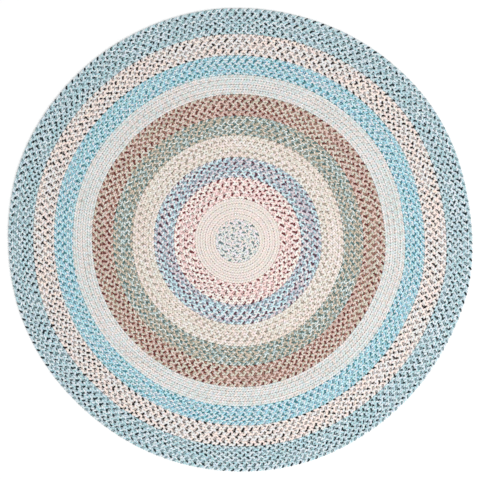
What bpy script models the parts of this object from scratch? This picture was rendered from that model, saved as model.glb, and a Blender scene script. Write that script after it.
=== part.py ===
"""A round braided rug, 1.22 m across and 8 mm thick, lying flat.

Forty-five rows of flat three-strand braid run round and round a small heart, each laced edge to
edge to the row inside it. The rows stand up as low ribs with a groove at every seam, the rows are
grouped in eleven bands of colour, and the outermost row ends in a rounded edge. The rug is one
piece, so it is one solid: ribs on the upper face, a flat face underneath.

Metres, +Z up. The origin is the middle of the underside, on the floor. +Y is the top of the rug as
it is seen from above, and bearings run anticlockwise from +X.
"""

import math

import bpy

# Driving sizes
DIAMETER = 1.22
THICKNESS = 0.008
SEAM_DEPTH = 0.0024  # from a rib's crest down to the groove between two rows
EYE_RADIUS = 0.0037  # the pit at the very middle, inside the first row
HEART_SHIFT = (-0.0085, -0.0040)  # how far the heart lies from the middle of the outline

# Worked out from them
RADIUS = DIAMETER / 2
HEART_SHIFT_X, HEART_SHIFT_Y = HEART_SHIFT

# The bands of colour, from the heart out. Each row of braid is as wide as the next.
BANDS = (
    # name, rows, red, green, blue
    ("heart", 4, 0.60, 0.61, 0.59),
    ("cream", 4, 0.80, 0.73, 0.67),
    ("rose", 4, 0.69, 0.55, 0.52),
    ("dusk_blue", 4, 0.45, 0.48, 0.52),
    ("oatmeal", 4, 0.72, 0.64, 0.57),
    ("sage", 4, 0.40, 0.42, 0.37),
    ("brick_taupe", 4, 0.46, 0.35, 0.29),
    ("ivory", 4, 0.71, 0.70, 0.67),
    ("turquoise", 4, 0.38, 0.56, 0.61),
    ("blush", 4, 0.59, 0.55, 0.52),
    ("aqua", 5, 0.37, 0.48, 0.53),
)
ROWS = sum(rows for _, rows, *_ in BANDS)
ROW_WIDTH = (RADIUS - EYE_RADIUS) / ROWS

# Hand-laced rows lie a little unevenly. Each lump pushes the rows out, or draws them in, round one
# bearing. It is fullest at the rim and fades towards the heart.
LUMPS = (
    # bearing in degrees, push in metres, half width in degrees
    (11.0, -0.0016, 8.0),
    (34.0, 0.0032, 15.0),
    (79.0, -0.0030, 18.0),
    (115.0, -0.0016, 12.0),
    (161.0, 0.0038, 14.0),
    (199.0, 0.0010, 10.0),
    (230.0, -0.0026, 16.0),
    (281.0, 0.0020, 15.0),
    (319.0, -0.0014, 18.0),
    (349.0, 0.0040, 9.0),
)

# The outermost row's rounded edge, from its crest round to the underside
EDGE_PROFILE = (
    # back from the rim, height, both as shares: of the row's width and of the thickness
    (0.20, 0.88),
    (0.04, 0.66),
    (0.00, 0.45),
    (0.07, 0.16),
    (0.26, 0.00),
)

# How finely the rows are drawn: the number of sides of each ring, and the row it starts at
SIDES_FROM_ROW = (
    # first row, sides
    (0, 16),
    (2, 32),
    (12, 64),
)

YARN_ROUGHNESS = 0.9


def turn_between(bearing, other):
    """The smaller angle between two bearings, in degrees."""
    return abs((bearing - other + 180.0) % 360.0 - 180.0)


def uneven_push(bearing):
    """How far the lumps push the rim out at this bearing."""
    return sum(
        push * math.exp(-((turn_between(bearing, at) / wide) ** 2)) for at, push, wide in LUMPS
    )


def point_on_row(radius, bearing):
    """Where a row of this radius passes this bearing, seen from above."""
    share = radius / RADIUS
    reach = radius + share * uneven_push(bearing)
    angle = math.radians(bearing)
    return (
        reach * math.cos(angle) + (1.0 - share) * HEART_SHIFT_X,
        reach * math.sin(angle) + (1.0 - share) * HEART_SHIFT_Y,
    )


def sides_of_row(row):
    return [sides for first_row, sides in SIDES_FROM_ROW if row >= first_row][-1]


def rings_of_the_rug():
    """Each ring of the surface from the eye to the underside: radius, height, sides, band."""
    rings = []
    row = 0
    for band, (_, rows, *_) in enumerate(BANDS):
        for _ in range(rows):
            inner_edge = EYE_RADIUS + row * ROW_WIDTH
            sides = sides_of_row(row)
            rings.append((inner_edge + ROW_WIDTH / 2, THICKNESS, sides, band))
            if row < ROWS - 1:
                rings.append((inner_edge + ROW_WIDTH, THICKNESS - SEAM_DEPTH, sides, band))
            row += 1
    for back, height in EDGE_PROFILE:
        rings.append((RADIUS - back * ROW_WIDTH, height * THICKNESS, sides, len(BANDS) - 1))
    return rings


def faces_between(inner, outer):
    """The faces from one ring of points to the next, which has as many points or twice as many."""
    count = len(inner)
    if len(outer) == count:
        return [
            (inner[i], outer[i], outer[(i + 1) % count], inner[(i + 1) % count]) for i in range(count)
        ]
    faces = []
    for i in range(count):
        near, far = inner[i], inner[(i + 1) % count]
        first, middle, last = (outer[(2 * i + step) % (2 * count)] for step in range(3))
        faces += [(near, first, middle), (near, middle, far), (far, middle, last)]
    return faces


def braided_rug():
    points = [(*point_on_row(0.0, 0.0), THICKNESS - SEAM_DEPTH)]
    faces, bands_of_faces = [], []
    last_ring = None
    for radius, height, sides, band in rings_of_the_rug():
        ring = list(range(len(points), len(points) + sides))
        points += [(*point_on_row(radius, i * 360.0 / sides), height) for i in range(sides)]
        if last_ring is None:
            new_faces = [(0, ring[i], ring[(i + 1) % sides]) for i in range(sides)]
        else:
            new_faces = faces_between(last_ring, ring)
        faces += new_faces
        bands_of_faces += [band] * len(new_faces)
        last_ring = ring
    faces.append(tuple(reversed(last_ring)))
    bands_of_faces.append(len(BANDS) - 1)

    mesh = bpy.data.meshes.new("braided_rug")
    mesh.from_pydata(points, [], faces)
    for name, _, *colour in BANDS:
        mesh.materials.append(yarn(name, colour))
    mesh.polygons.foreach_set("material_index", bands_of_faces)
    mesh.shade_smooth()
    mesh.set_sharp_from_angle(angle=math.radians(60.0))
    mesh.update()
    rug = bpy.data.objects.new("braided_rug", mesh)
    bpy.context.scene.collection.objects.link(rug)
    return rug


def yarn(name, colour):
    """Matt braided yarn of one band's average colour."""
    material = bpy.data.materials.new("yarn_" + name)
    material.use_nodes = True
    shader = material.node_tree.nodes["Principled BSDF"]
    shader.inputs["Base Color"].default_value = (*colour, 1.0)
    shader.inputs["Roughness"].default_value = YARN_ROUGHNESS
    shader.inputs["Metallic"].default_value = 0.0
    return material


for old in list(bpy.data.objects):
    bpy.data.objects.remove(old)
braided_rug()
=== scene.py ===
import math

import bpy
import numpy as np
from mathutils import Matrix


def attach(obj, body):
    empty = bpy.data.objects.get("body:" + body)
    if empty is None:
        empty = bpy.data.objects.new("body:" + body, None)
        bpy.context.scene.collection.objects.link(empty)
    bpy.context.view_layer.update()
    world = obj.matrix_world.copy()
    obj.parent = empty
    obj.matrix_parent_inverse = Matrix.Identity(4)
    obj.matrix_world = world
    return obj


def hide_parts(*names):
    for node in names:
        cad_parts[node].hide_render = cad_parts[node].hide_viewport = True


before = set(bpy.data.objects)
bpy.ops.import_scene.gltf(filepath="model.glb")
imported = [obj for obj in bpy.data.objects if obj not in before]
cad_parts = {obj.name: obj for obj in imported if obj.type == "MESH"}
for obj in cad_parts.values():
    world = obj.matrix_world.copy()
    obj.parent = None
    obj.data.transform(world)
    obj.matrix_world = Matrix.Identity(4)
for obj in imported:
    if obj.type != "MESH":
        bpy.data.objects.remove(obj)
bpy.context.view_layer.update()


# The heart: the innermost four rows, of near-white wool with slate and blue-green ends in one strand.
# The braider starts the rug here, coils each row of flat three-strand plait round the last one and
# laces the two edge to edge. Every later row is plaited and laid in the same way, so how is told here.

DIAMETER = 1.22
THICKNESS = 0.008
RADIUS = DIAMETER / 2
ROWS = 45
EYE_RADIUS = 0.0037  # the pit inside the first row
ROW_WIDTH = (RADIUS - EYE_RADIUS) / ROWS  # of an average row
HEART_SHIFT = (-0.0080, -0.0038)  # how far the heart lies from the middle of the outline
SHIFT_FADE = 1.86  # power of the radius by which that shift dies away towards the rim

LUMPS = (  # where hand-laced rows bulge out or draw in, fullest at the rim
    # bearing in degrees, anticlockwise from +X; push in metres; half width in degrees
    (11.0, -0.0016, 8.0),
    (34.0, 0.0032, 15.0),
    (79.0, -0.0030, 18.0),
    (115.0, -0.0016, 12.0),
    (161.0, 0.0038, 14.0),
    (199.0, 0.0010, 10.0),
    (230.0, -0.0026, 16.0),
    (281.0, 0.0020, 15.0),
    (319.0, -0.0014, 18.0),
    (349.0, 0.0040, 9.0),
)

PLAIT_LENGTH = 0.02236  # along the row, until each strand is back at the same edge
STRANDS = 3
STRAND_SWAY = 0.0047  # each strand's line swings this far to either side of the row's middle
STRAND_RISE = 0.0014  # and this far above and below the rug's middle height
TURN = (0.0034, 0.0036)  # a strand's half width and half thickness where it turns at an edge
FLOAT = (0.0027, 0.0026)  # where it lies on top or underneath
CROSSING = (0.0036, 0.0005)  # and where it dives through the middle
SHAPES = np.array([TURN, FLOAT, CROSSING, FLOAT] * 2)
STEPS = len(SHAPES)  # points of a strand's line in one plait length
SIDES = 5  # of the tube round that line
AROUND = math.pi / 2 + 2 * math.pi * np.arange(SIDES) / SIDES  # its corners' angles, 0 being inward
HAND = 0.00012  # how unevenly the braider pulls the strands, in metres
SEED = 1822  # of every random draw
rng = np.random.default_rng(SEED)


def turn_between(bearing, other):
    """The smaller angle between two bearings, in degrees."""
    return abs((bearing - other + 180.0) % 360.0 - 180.0)


def uneven_push(bearing):
    """How far the lumps push the rim out at this bearing."""
    return sum(push * np.exp(-((turn_between(bearing, at) / wide) ** 2)) for at, push, wide in LUMPS)


def point_on_row(radius, bearing):
    """Where a row of this radius passes this bearing, seen from above."""
    share = radius / RADIUS
    reach = radius + share * uneven_push(bearing)
    angle = np.radians(bearing)
    shift = 1.0 - share**SHIFT_FADE
    return (
        reach * np.cos(angle) + shift * HEART_SHIFT[0],
        reach * np.sin(angle) + shift * HEART_SHIFT[1],
    )


def strand_line(middle, width, fullness, strand, start):
    """The line of one strand once round its row, its half width and half thickness there, how far
    out from the row's middle it sways, and how many plait lengths the row has."""
    plaits = round(2 * math.pi * middle / PLAIT_LENGTH)
    spread = width / ROW_WIDTH
    step = np.arange(plaits * STEPS)
    phase = 2 * math.pi * step / STEPS
    bearing = start + 360.0 * (step / STEPS - strand / STRANDS) / plaits
    sway = spread * STRAND_SWAY * np.cos(phase) + rng.normal(0.0, HAND, step.size)
    x, y = point_on_row(middle + sway, bearing % 360.0)
    z = THICKNESS / 2 + STRAND_RISE * np.sin(2 * phase)
    halves = np.tile(SHAPES, (plaits, 1)) * (spread * fullness, 1.0)
    halves[:, 0] += rng.normal(0.0, HAND, step.size)
    return np.stack([x, y, z], 1), halves, sway, plaits


def tube_round(line, halves):
    """Rings of points round a strand's closed line, as wide and as thick as the strand is there."""
    along = np.roll(line, -1, 0) - np.roll(line, 1, 0)
    along /= np.linalg.norm(along, axis=1)[:, None]
    side = np.cross((0.0, 0.0, 1.0), along)
    side /= np.linalg.norm(side, axis=1)[:, None]
    up = np.cross(along, side)
    inward = (halves[:, :1] * np.cos(AROUND))[..., None]
    upward = (halves[:, 1:] * np.sin(AROUND))[..., None]
    return line[:, None] + side[:, None] * inward + up[:, None] * upward


ACCENT_TWISTS = (1, 2)  # turns in one plait length, one or the other
PLAIN_TWISTS = (0, 1)
WANDERS = (  # the twist isn't even: it wanders in long and short waves
    # plaits in a wave, turns
    (70.0, 0.40),
    (31.0, 0.40),
    (17.0, 0.40),
)


def wander(rounds, plaits):
    """How far a strand's twist has wandered on its way round one row. It ends where it starts."""
    total = np.zeros_like(rounds)
    for length, turns in WANDERS:
        waves = max(1, round(plaits / length))
        total += rng.normal(0.0, turns) * np.sin(2 * math.pi * (waves * rounds + rng.random()))
    return total


ACCENT_STRAND = 0  # which of the three has the band's deep dyes
CORNERS = ((0, 0), (0, 1), (1, 1), (1, 0))  # of a face: rings ahead, sides across
STRIP_FILL = 0.92  # of a strip's width on the bake map, so that neighbours don't bleed


def braided_strand(middle, width, fullness, strand, start):
    """One strand once round its row: its rings of points, how far across the row each point lies
    (its inner seam is at -1 and its outer one at 1), and each ring's place along the yarn and twist."""
    line, halves, sway, plaits = strand_line(middle, width, fullness, strand, start)
    across = (sway[:, None] - halves[:, :1] * np.cos(AROUND)) / (width / 2)
    lengths = np.linalg.norm(np.roll(line, -1, 0) - line, axis=1)
    reached = np.concatenate([[0.0], np.cumsum(lengths)])
    rounds = np.arange(len(line) + 1) / len(line)
    turns_each = rng.choice(ACCENT_TWISTS if strand == ACCENT_STRAND else PLAIN_TWISTS)
    twist = turns_each * plaits * rounds + wander(rounds, plaits) + rng.random()
    return tube_round(line, halves), across, reached, twist


def corners_of_faces(rings):
    """The ring and the side at each corner of the faces between so many rings and the next ones."""
    ring, side = np.divmod(np.arange(rings * SIDES), SIDES)
    return [(ring + ahead, side + across) for ahead, across in CORNERS]


def bake_places(rings, length_over_girth):
    """Where the faces lie on the bake map: the strands are cut into strips that fill the square."""
    strips = math.ceil(math.sqrt(length_over_girth))
    rings_in_strip = math.ceil(rings / strips)
    margin = (1.0 - STRIP_FILL) / 2
    first_ring = corners_of_faces(rings)[0][0]
    strip = first_ring // rings_in_strip
    return [
        (ring / rings_in_strip - strip, (strip + margin + STRIP_FILL * side / SIDES) / strips)
        for ring, side in corners_of_faces(rings)
    ]


def add_map(mesh, name, places):
    """A texture map: for each corner of a face in turn, where all the faces have it."""
    by_face = np.array(places).transpose(2, 0, 1)
    mesh.uv_layers.new(name=name).uv.foreach_set("vector", by_face.astype(np.float32).ravel())


def mesh_of(name, points, faces):
    """A smooth mesh of these points and four-cornered faces."""
    mesh = bpy.data.meshes.new(name)
    mesh.vertices.add(len(points))
    mesh.vertices.foreach_set("co", points.astype(np.float32).ravel())
    mesh.loops.add(faces.size)
    mesh.loops.foreach_set("vertex_index", faces.astype(np.int32).ravel())
    mesh.polygons.add(len(faces))
    first_corners = np.arange(0, faces.size, len(CORNERS), dtype=np.int32)
    mesh.polygons.foreach_set("loop_start", first_corners)
    mesh.update(calc_edges=True)
    mesh.validate()
    mesh.shade_smooth()
    return mesh


def braided_band(name, inner, outer, rows, fullness):
    """The mesh of one band's rows, and the flat size of its three strands side by side."""
    points, faces, places_across, yarn_places, is_accent, girths = [], [], [], [], [], []
    width = (outer - inner) / rows
    points_before = 0
    yarn_used = 0.0
    for row in range(rows):
        middle = inner + (row + 0.5) * width
        start = rng.uniform(0.0, 360.0)
        for strand in range(STRANDS):
            tube, across, reached, twist = braided_strand(middle, width, fullness, strand, start)
            rings = len(tube)
            corners = corners_of_faces(rings)
            points.append(tube.reshape(-1, 3))
            places_across.append(across.ravel())
            faces.append(
                [points_before + ring % rings * SIDES + side % SIDES for ring, side in corners]
            )
            yarn_places.append(
                [(yarn_used + reached[ring], twist[ring] + side / SIDES) for ring, side in corners]
            )
            is_accent.append(np.full(rings * SIDES, float(strand == ACCENT_STRAND)))
            girths.append(np.linalg.norm(np.roll(tube, -1, 1) - tube, axis=2).sum(1).mean())
            points_before += rings * SIDES
            yarn_used += reached[-1]

    faces = np.concatenate(faces, 1).T
    mesh = mesh_of(name, np.concatenate(points), faces)
    girth = float(np.mean(girths))
    add_map(mesh, "Yarn", np.concatenate(yarn_places, 2))
    add_map(mesh, "OFBake", bake_places(len(faces) // SIDES, yarn_used / girth))
    across_row = mesh.attributes.new("across", "FLOAT", "POINT")
    across_row.data.foreach_set("value", np.concatenate(places_across).astype(np.float32))
    accent = mesh.attributes.new("accent", "FLOAT", "FACE")
    accent.data.foreach_set("value", np.concatenate(is_accent).astype(np.float32))
    # A strand pressed flat is half its girth wide.
    return mesh, (STRANDS * girth / 2, yarn_used / STRANDS)


class Thread:
    """A socket followed through a material. Arithmetic on it adds Math nodes."""

    def __init__(self, tree, socket=None):
        self.tree = tree
        self.socket = socket

    def node(self, kind, settings, inputs, output=0):
        """Another node: its settings first, then the values or links of its sockets."""
        made = self.tree.nodes.new(kind)
        for setting, value in settings.items():
            if setting == "stops":
                set_stops(made.color_ramp, value)
            else:
                setattr(made, setting, value)
        for socket, value in inputs.items():
            if isinstance(value, Thread):
                self.tree.links.new(value.socket, made.inputs[socket])
            else:
                made.inputs[socket].default_value = value
        return Thread(self.tree, made.outputs[output])

    def work_out(self, operation, first, second=0.0):
        return self.node("ShaderNodeMath", {"operation": operation}, {0: first, 1: second})

    def __add__(self, other):
        return self.work_out("ADD", self, other)

    def __radd__(self, other):
        return self.work_out("ADD", other, self)

    def __sub__(self, other):
        return self.work_out("SUBTRACT", self, other)

    def __rsub__(self, other):
        return self.work_out("SUBTRACT", other, self)

    def __mul__(self, other):
        return self.work_out("MULTIPLY", self, other)

    def __rmul__(self, other):
        return self.work_out("MULTIPLY", other, self)

    def __mod__(self, other):
        return self.work_out("FLOORED_MODULO", self, other)

    def __rmod__(self, other):
        return self.work_out("FLOORED_MODULO", other, self)


def set_stops(ramp, stops):
    """Gives a colour ramp its stops, each flat up to the next one. The first stop is at 0."""
    ramp.interpolation = "CONSTANT"
    ramp.elements.remove(ramp.elements[-1])
    ramp.elements[0].color = (*stops[0][1], 1.0)
    for place, colour in stops[1:]:
        ramp.elements.new(place).color = (*colour, 1.0)


# Round a strand: which of its four dyes each end has. The two halves of a plain strand differ in hue
# more than in lightness. In a flecked band, an accent strand's dyes go from the deepest to the palest.
PLAIN_ENDS = (0, 0, 1, 0, 1, 1, 2, 2, 3, 2, 3, 3)
ACCENT_ENDS = (0, 0, 1, 0, 1, 3, 3, 1, 2, 2, 3, 2)
ENDS = len(PLAIN_ENDS)
END_HEIGHT = 0.0004
RELIEF = 0.6  # how strongly the ends and fibres catch the light
DRIFTS_ALONG = 30.0  # the dye takes a little more or less, so many times in a metre of yarn
DYE_DRIFT = (0.30, 0.0, 0.32)  # by these shares of its red, green and blue
FIBRES_ALONG = 120.0  # specks in a metre of yarn
FIBRES_ROUND = 16.0  # and in one turn round a strand
FIBRE_FINENESS = 2.0  # finer and finer layers of specks
FIBRE_TINT = 0.5  # how much lighter or darker the specks are
FIBRE_RELIEF = 0.4  # how high they stand, against the ends themselves
GROOVE_REACH = 0.2  # how far the painted shade of a groove reaches to either side, as a share of half a row
CREASE_SHARE = 0.5  # of that painted shade in the crease down the middle of a plait
WOOL_ROUGHNESS = 0.95
WOOL_SHEEN = 0.15  # the haze of loose fibres
WOOL_SHINE = 0.2
CARD_WHITE = 255  # a dye's red, green and blue are numbers on a card, from 0 to this
CARD_OFFSET = 0.055  # and the light follows them by a curve
CARD_POWER = 2.4
MIX_FACTOR, MIX_FIRST, MIX_SECOND, MIX_RESULT = 0, 6, 7, 2  # a Mix node's sockets for colours


def dyed(red, green, blue):
    """The light that a dye sends back, from its numbers on the card."""
    shares = [number / CARD_WHITE for number in (red, green, blue)]
    return tuple(((share + CARD_OFFSET) / (1.0 + CARD_OFFSET)) ** CARD_POWER for share in shares)


def yarn(name, plain_dyes, accent_dyes, painted_groove_shade):
    """Heathered wool: the four dyes of a plain strand's ends, and those of an accent strand's. The
    painted groove shade is how much darker the wool is painted in the grooves, where shade falls."""
    material = bpy.data.materials.new("yarn_" + name)
    material.use_nodes = True
    tree = material.node_tree
    shader = tree.nodes["Principled BSDF"]
    shader.inputs["Roughness"].default_value = WOOL_ROUGHNESS
    shader.inputs["Sheen Weight"].default_value = WOOL_SHEEN
    shader.inputs["Specular IOR Level"].default_value = WOOL_SHINE
    start = Thread(tree)
    place = start.node("ShaderNodeUVMap", {"uv_map": "Yarn"}, {})
    along = start.node("ShaderNodeSeparateXYZ", {}, {"Vector": place}, "X")
    turned = start.node("ShaderNodeSeparateXYZ", {}, {"Vector": place}, "Y")

    colours = []
    for dyes, order in ((plain_dyes, PLAIN_ENDS), (accent_dyes, ACCENT_ENDS)):
        stops = [(end / ENDS, dyed(*dyes[dye])) for end, dye in enumerate(order)]
        colours.append(start.node("ShaderNodeValToRGB", {"stops": stops}, {"Fac": turned % 1.0}))
    is_accent = start.node("ShaderNodeAttribute", {"attribute_name": "accent"}, {}, "Fac")
    either = {MIX_FACTOR: is_accent, MIX_FIRST: colours[0], MIX_SECOND: colours[1]}
    colour = start.node("ShaderNodeMix", {"data_type": "RGBA"}, either, MIX_RESULT)

    takes = start.node(
        "ShaderNodeTexNoise", {"noise_dimensions": "1D"}, {"W": along * DRIFTS_ALONG}, "Color"
    )
    least = [1.0 - share / 2 for share in DYE_DRIFT]
    drift = start.node(
        "ShaderNodeVectorMath", {"operation": "MULTIPLY_ADD"}, {0: takes, 1: DYE_DRIFT, 2: least}
    )
    colour = start.node("ShaderNodeVectorMath", {"operation": "MULTIPLY"}, {0: colour, 1: drift})

    fibre_place = start.node(
        "ShaderNodeCombineXYZ", {}, {"X": along * FIBRES_ALONG, "Y": turned * FIBRES_ROUND}
    )
    fibre = start.node(
        "ShaderNodeTexNoise", {}, {"Vector": fibre_place, "Scale": 1.0, "Detail": FIBRE_FINENESS}
    )
    lightness = 1.0 + FIBRE_TINT * (fibre - 0.5)
    # Painted shade: the wool's colour is darkened along the seams between rows and down the crease of
    # each plait, where shade falls.
    if painted_groove_shade:
        across = start.node("ShaderNodeAttribute", {"attribute_name": "across"}, {}, "Fac")
        from_middle = start.work_out("ABSOLUTE", across)
        from_seam = start.work_out("ABSOLUTE", from_middle - 1.0)
        seam = start.work_out("MAXIMUM", 1.0 - from_seam * (1.0 / GROOVE_REACH), 0.0)
        crease = start.work_out("MAXIMUM", 1.0 - from_middle * (1.0 / GROOVE_REACH), 0.0)
        lightness = lightness - painted_groove_shade * (seam + CREASE_SHARE * crease)
    mottled = start.node("ShaderNodeHueSaturation", {}, {"Value": lightness, "Color": colour})
    tree.links.new(mottled.socket, shader.inputs["Base Color"])

    rounded = start.work_out("SINE", (turned * ENDS) % 1.0 * math.pi)
    height = rounded + FIBRE_RELIEF * fibre
    bump = start.node(
        "ShaderNodeBump", {}, {"Strength": RELIEF, "Distance": END_HEIGHT, "Height": height}
    )
    tree.links.new(bump.socket, shader.inputs["Normal"])
    return material


def lay_band(name, inner, outer, rows, plain_dyes, accent_dyes, fullness=1.0, painted_groove_shade=0.0):
    """Braids a band between two radii and lays it in its place."""
    mesh, flat = braided_band(name, inner, outer, rows, fullness)
    mesh.materials.append(yarn(name, plain_dyes, accent_dyes, painted_groove_shade))
    band = bpy.data.objects.new(name, mesh)
    bpy.context.scene.collection.objects.link(band)
    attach(band, "root")
    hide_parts("braided_rug")


HEART_ROWS = 4
HEART_RADIUS = 0.0580
HEART_PLAIN = ((230, 231, 237), (237, 217, 220), (233, 223, 213), (220, 227, 222))
HEART_ACCENT = ((92, 104, 112), (118, 156, 150), (202, 205, 202), (234, 233, 233))
lay_band("heart", EYE_RADIUS, HEART_RADIUS, HEART_ROWS, HEART_PLAIN, HEART_ACCENT)


# The cream band: four rows of undyed wool, laced round the heart. Its ends are all near-white and its
# strands a little fuller; its grooves between the rows and down each plait carry painted shade.

CREAM_ROWS = 4
CREAM_RADIUS = 0.1122
CREAM_PLAIN = ((237, 222, 215), (235, 219, 216), (227, 222, 213), (230, 224, 214))
CREAM_ACCENT = ((218, 210, 205), (236, 231, 227), (228, 220, 213), (239, 230, 225))
CREAM_FULLNESS = 1.1  # how wide its strands lie, against the flecked bands' strands
CREAM_PAINTED_GROOVE_SHADE = 0.18  # how much darker its wool is painted in the grooves: painted shade
lay_band(
    "cream", HEART_RADIUS, CREAM_RADIUS, CREAM_ROWS, CREAM_PLAIN, CREAM_ACCENT,
    fullness=CREAM_FULLNESS, painted_groove_shade=CREAM_PAINTED_GROOVE_SHADE,
)


# The rose band: four rows of shell-pink wool. One strand of its three has ends of brick red and
# maroon, which come up as short flecks wherever that strand crosses over the other two.

ROSE_ROWS = 4
ROSE_RADIUS = 0.1678
ROSE_PLAIN = ((243, 214, 210), (238, 208, 207), (235, 231, 225), (248, 241, 233))
ROSE_ACCENT = ((98, 31, 38), (128, 67, 70), (207, 163, 162), (224, 222, 215))
lay_band("rose", CREAM_RADIUS, ROSE_RADIUS, ROSE_ROWS, ROSE_PLAIN, ROSE_ACCENT)


# The dusk blue band: four rows of powder-blue and lilac wool, laced round the rose band. The accent
# strand has ends of plum, mauve-grey and grey-blue.

DUSK_BLUE_ROWS = 4
DUSK_BLUE_RADIUS = 0.2202
DUSK_BLUE_PLAIN = ((230, 216, 217), (193, 188, 199), (179, 214, 222), (223, 239, 241))
DUSK_BLUE_ACCENT = ((87, 26, 51), (91, 80, 94), (149, 148, 164), (156, 184, 190))
lay_band("dusk_blue", ROSE_RADIUS, DUSK_BLUE_RADIUS, DUSK_BLUE_ROWS, DUSK_BLUE_PLAIN, DUSK_BLUE_ACCENT)


# The oatmeal band: four rows of warm off-white wool, laced round the dusk blue band. One strand has
# stone-grey and sand ends, so its flecks are faint.

OATMEAL_ROWS = 4
OATMEAL_RADIUS = 0.2784
OATMEAL_PLAIN = ((226, 227, 219), (229, 221, 209), (232, 214, 206), (239, 231, 229))
OATMEAL_ACCENT = ((156, 143, 131), (185, 175, 162), (215, 205, 194), (231, 221, 210))
lay_band("oatmeal", DUSK_BLUE_RADIUS, OATMEAL_RADIUS, OATMEAL_ROWS, OATMEAL_PLAIN, OATMEAL_ACCENT)


# The sage band: four rows of teal-grey, white and tan wool, with deep green and teal ends in one
# strand. They mix to sage from a step away. It is laced round the oatmeal band.

SAGE_ROWS = 4
SAGE_RADIUS = 0.3293
SAGE_PLAIN = ((134, 166, 165), (238, 242, 241), (176, 167, 146), (226, 208, 192))
SAGE_ACCENT = ((84, 103, 91), (84, 124, 134), (142, 145, 134), (166, 163, 148))
lay_band("sage", OATMEAL_RADIUS, SAGE_RADIUS, SAGE_ROWS, SAGE_PLAIN, SAGE_ACCENT)


# The brick and taupe band: four rows of taupe, olive-grey and cream wool, laced round the sage band,
# with maroon, brown and terracotta ends in one strand.

BRICK_ROWS = 4
BRICK_RADIUS = 0.3855
BRICK_PLAIN = ((184, 151, 142), (236, 216, 207), (178, 173, 151), (230, 225, 215))
BRICK_ACCENT = ((98, 24, 28), (100, 60, 52), (145, 120, 107), (180, 127, 112))
lay_band("brick_taupe", SAGE_RADIUS, BRICK_RADIUS, BRICK_ROWS, BRICK_PLAIN, BRICK_ACCENT)


# The ivory band: four rows of pale wool with faint ends of aqua and pink, laced round the brick and
# taupe band. It has no flecks; its strands are as full as the cream's and its grooves carry as much
# painted shade.

IVORY_ROWS = 4
IVORY_RADIUS = 0.4372
IVORY_PLAIN = ((207, 219, 219), (218, 228, 225), (217, 203, 197), (241, 234, 230))
IVORY_ACCENT = ((168, 175, 173), (246, 232, 224), (217, 222, 223), (230, 230, 235))
IVORY_FULLNESS = 1.1
# painted shade in its grooves, as dark as the cream band's
IVORY_PAINTED_GROOVE_SHADE = 0.18
lay_band(
    "ivory", BRICK_RADIUS, IVORY_RADIUS, IVORY_ROWS, IVORY_PLAIN, IVORY_ACCENT,
    fullness=IVORY_FULLNESS, painted_groove_shade=IVORY_PAINTED_GROOVE_SHADE,
)


# The turquoise band: four rows of turquoise and white wool, laced round the ivory band, with
# petrol-green and steel-blue ends in one strand.

TURQUOISE_ROWS = 4
TURQUOISE_RADIUS = 0.4875
TURQUOISE_PLAIN = ((118, 195, 216), (219, 243, 244), (169, 206, 216), (244, 235, 236))
TURQUOISE_ACCENT = ((44, 118, 113), (82, 131, 162), (146, 190, 190), (176, 203, 217))
lay_band("turquoise", IVORY_RADIUS, TURQUOISE_RADIUS, TURQUOISE_ROWS, TURQUOISE_PLAIN, TURQUOISE_ACCENT)


# The blush band: four rows of pale pinkish-cream wool, laced round the turquoise band. One strand
# has black-brown ends, whose flecks are the sharpest of all.

BLUSH_ROWS = 4
BLUSH_RADIUS = 0.5436
BLUSH_PLAIN = ((246, 233, 222), (238, 220, 216), (226, 229, 224), (231, 229, 232))
BLUSH_ACCENT = ((18, 11, 9), (40, 34, 30), (176, 166, 162), (214, 204, 200))
lay_band("blush", TURQUOISE_RADIUS, BLUSH_RADIUS, BLUSH_ROWS, BLUSH_PLAIN, BLUSH_ACCENT)


# The aqua border: the last five rows, of aqua and pale grey-blue wool with near-black ends in one
# strand. The outermost row is laced along its inner edge only, so the rug ends in its rounded turns.

AQUA_ROWS = 5
AQUA_PLAIN = ((157, 202, 208), (212, 225, 231), (176, 201, 208), (239, 241, 245))
AQUA_ACCENT = ((0, 22, 23), (25, 38, 49), (117, 148, 151), (181, 200, 209))
lay_band("aqua", BLUSH_RADIUS, RADIUS, AQUA_ROWS, AQUA_PLAIN, AQUA_ACCENT)


# The stage: a plain white studio floor, so wide that it fills the picture, and a camera straight
# above the rug, nearly over its middle.

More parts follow.
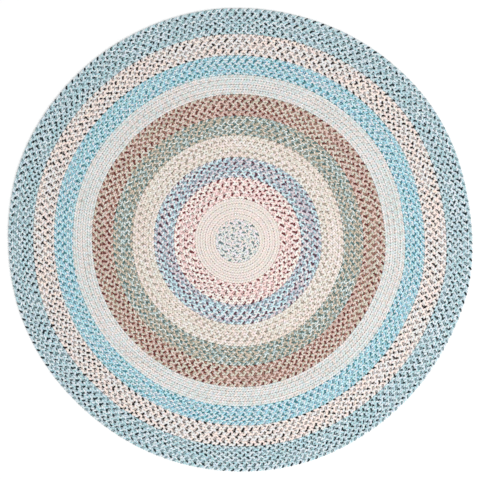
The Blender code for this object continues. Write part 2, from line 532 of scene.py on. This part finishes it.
PHOTO_SPAN = 1.2626  # the width that the picture takes in, level with the rug's top
PHOTO_MIDDLE = (-0.0009, -0.0018)  # where the camera looks straight down
LENS = 85.0
SENSOR = 36.0
camera = bpy.data.objects.new("camera", bpy.data.cameras.new("camera"))
bpy.context.scene.collection.objects.link(camera)
camera.data.lens = LENS
camera.data.sensor_width = SENSOR
camera.location = (*PHOTO_MIDDLE, THICKNESS + PHOTO_SPAN * LENS / SENSOR)
bpy.context.scene.camera = camera

FLOOR_REACH = 8.0
FLOOR_WHITE = 0.9
FLOOR_ROUGHNESS = 0.9
corners = [(x * FLOOR_REACH, y * FLOOR_REACH, 0.0) for x, y in ((-1, -1), (1, -1), (1, 1), (-1, 1))]
floor_mesh = bpy.data.meshes.new("floor")
floor_mesh.from_pydata(corners, [], [(0, 1, 2, 3)])
floor = bpy.data.objects.new("floor", floor_mesh)
bpy.context.scene.collection.objects.link(floor)
paint = bpy.data.materials.new("floor")
paint.use_nodes = True
floor_shader = paint.node_tree.nodes["Principled BSDF"]
floor_shader.inputs["Base Color"].default_value = (FLOOR_WHITE, FLOOR_WHITE, FLOOR_WHITE, 1.0)
floor_shader.inputs["Roughness"].default_value = FLOOR_ROUGHNESS
floor_mesh.materials.append(paint)


# The light: an even white studio, and a large soft lamp beyond the rug's lower right, so that the
# rug is a little brighter on that side than on the other.

STUDIO_STRENGTH = 0.84
LAMP_POWER = 52.0
LAMP_SIZE = 2.0
LAMP_BEARING = math.radians(319.0)
LAMP_REACH = 1.4  # from over the rug's middle
LAMP_HEIGHT = 2.8
world = bpy.data.worlds.new("studio")
world.use_nodes = True
studio = world.node_tree.nodes["Background"]
studio.inputs["Color"].default_value = (1.0, 1.0, 1.0, 1.0)
studio.inputs["Strength"].default_value = STUDIO_STRENGTH
bpy.context.scene.world = world
lamp = bpy.data.objects.new("lamp", bpy.data.lights.new("lamp", "AREA"))
lamp.data.energy = LAMP_POWER
lamp.data.size = LAMP_SIZE
lamp.location = (
    LAMP_REACH * math.cos(LAMP_BEARING),
    LAMP_REACH * math.sin(LAMP_BEARING),
    LAMP_HEIGHT,
)
lamp.rotation_euler = (-lamp.location).to_track_quat("-Z", "Y").to_euler()
bpy.context.scene.collection.objects.link(lamp)
bpy.context.scene.view_settings.view_transform = "Standard"
